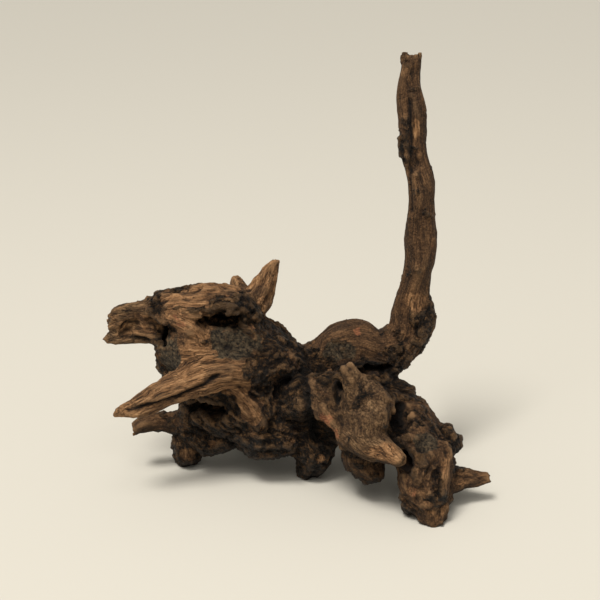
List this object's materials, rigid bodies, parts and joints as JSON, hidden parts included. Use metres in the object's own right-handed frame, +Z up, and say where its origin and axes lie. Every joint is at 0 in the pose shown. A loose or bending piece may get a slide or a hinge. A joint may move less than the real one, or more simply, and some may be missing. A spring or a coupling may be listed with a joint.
{
  "type": "driftwood",
  "caption": "Gnarled driftwood root: a knotted stump with broken prongs, a lump grown beside it and one tall bent branch, standing on worn feet.",
  "frame": {"origin": "on the floor, under the middle of the outline seen from above", "axes": "+Z up, along the tall branch; +X to the right as seen from the front, towards the branch and the small right spike; -Y to the front"},
  "size_m": [0.3085, 0.1822, 0.3367],
  "materials": {
    "weathered_wood": "matte weathered root wood: dark crusted bark, bare tan wood on the prongs and broken edges, grey-brown on the branch"
  },
  "bodies": {
    "root": {"driftwood": "weathered_wood"}
  },
  "joints": []
}
